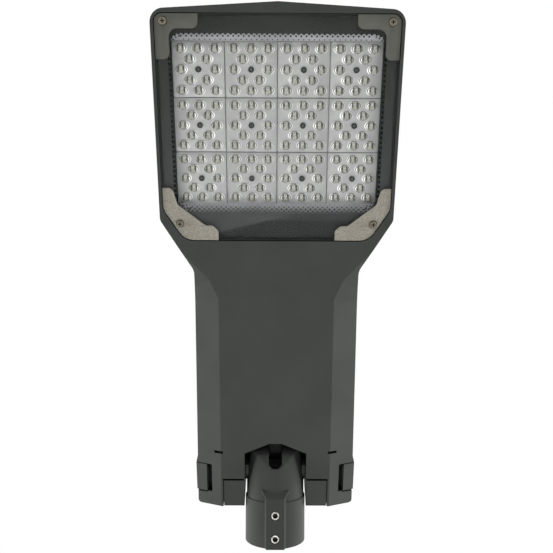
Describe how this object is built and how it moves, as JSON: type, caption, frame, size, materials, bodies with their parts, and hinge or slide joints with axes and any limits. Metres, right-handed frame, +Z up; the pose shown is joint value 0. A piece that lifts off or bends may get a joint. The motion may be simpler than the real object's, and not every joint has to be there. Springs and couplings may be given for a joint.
{
  "type": "led street light head",
  "caption": "Flat LED street light head with a finned cast housing, lens plates behind framed glass, a hinged gear cover with side latches and a tilting pole socket.",
  "frame": {"origin": "centre of the pole socket's mouth", "axes": "+Z up with the glass facing -Z, +Y from the nose towards the pole, X across"},
  "size_m": [0.237, 0.6027, 0.1391],
  "materials": {
    "housing_coat": "die-cast, grey powder coat, satin",
    "seal_rubber": "matt black",
    "stainless": "plain stainless",
    "brass_screws": "bright",
    "clear_glass": "clear toughened",
    "enamel": "dark grey enamel print",
    "bracket_metal": "plain, satin",
    "board_white": "white solder mask",
    "led_yellow": "phosphor",
    "lens_plastic": "clear, moulded",
    "sheet_zinc": "zinc plated",
    "driver_case": "plain, satin",
    "surge_case": "potted",
    "terminal_plastic": "moulded",
    "black_plastic": "moulded"
  },
  "bodies": {
    "spigot": {"spigot": "housing_coat", "set_screws": "stainless"},
    "housing": {"main_housing": "housing_coat", "cover_gasket": "seal_rubber", "hinge_pin_left": "stainless", "hinge_pin_right": "stainless", "glass": "clear_glass", "glass_border": "enamel", "glass_gasket": "seal_rubber", "front_bracket_left": "bracket_metal", "front_bracket_right": "bracket_metal", "rear_bracket_left": "bracket_metal", "rear_bracket_right": "bracket_metal", "bracket_screws": "stainless", "led_board": "board_white", "led_chips": "led_yellow", "lens_screws": "stainless", "spigot_yoke": "housing_coat", "yoke_screws": "stainless", "pivot_bolt": "stainless", "pivot_nut": "stainless", "pivot_washers": "stainless", "gear_plate": "sheet_zinc", "gear_screws": "stainless", "led_driver": "driver_case", "surge_protector": "surge_case", "terminal_block": "terminal_plastic", "terminal_screws": "brass_screws", "cable_clamp": "black_plastic", "clamp_screws": "stainless", "cable_grommet": "seal_rubber", "breather_vent": "black_plastic", "lead_grommet": "seal_rubber", "lens_plate_1": "lens_plastic", "lens_plate_2": "lens_plastic", "lens_plate_3": "lens_plastic", "lens_plate_4": "lens_plastic", "lens_plate_5": "lens_plastic", "lens_plate_6": "lens_plastic", "lens_plate_7": "lens_plastic", "lens_plate_8": "lens_plastic", "lens_plate_9": "lens_plastic", "lens_plate_10": "lens_plastic", "lens_plate_11": "lens_plastic", "lens_plate_12": "lens_plastic"},
    "cover": {"gear_cover": "housing_coat", "latch_pin_left": "stainless", "latch_pin_right": "stainless"},
    "latch_left": {"latch_left": "housing_coat"},
    "latch_right": {"latch_right": "housing_coat"}
  },
  "joints": [
    {"name": "spigot_tilt", "type": "hinge", "parent": "spigot", "child": "housing", "pos_m": [0, -0.07893, 0.02873], "axis": [1, 0, 0], "range_deg": [-20, 15]},
    {"name": "cover_hinge", "type": "hinge", "parent": "housing", "child": "cover", "pos_m": [0, -0.30573, 0.07703], "axis": [1, 0, 0], "range_deg": [0, 85]},
    {"name": "latch_left_hinge", "type": "hinge", "parent": "cover", "child": "latch_left", "pos_m": [-0.08831, -0.07473, 0.08703], "axis": [0, 1, 0], "range_deg": [0, 95]},
    {"name": "latch_right_hinge", "type": "hinge", "parent": "cover", "child": "latch_right", "pos_m": [0.08831, -0.07473, 0.08703], "axis": [0, -1, 0], "range_deg": [0, 95]}
  ]
}
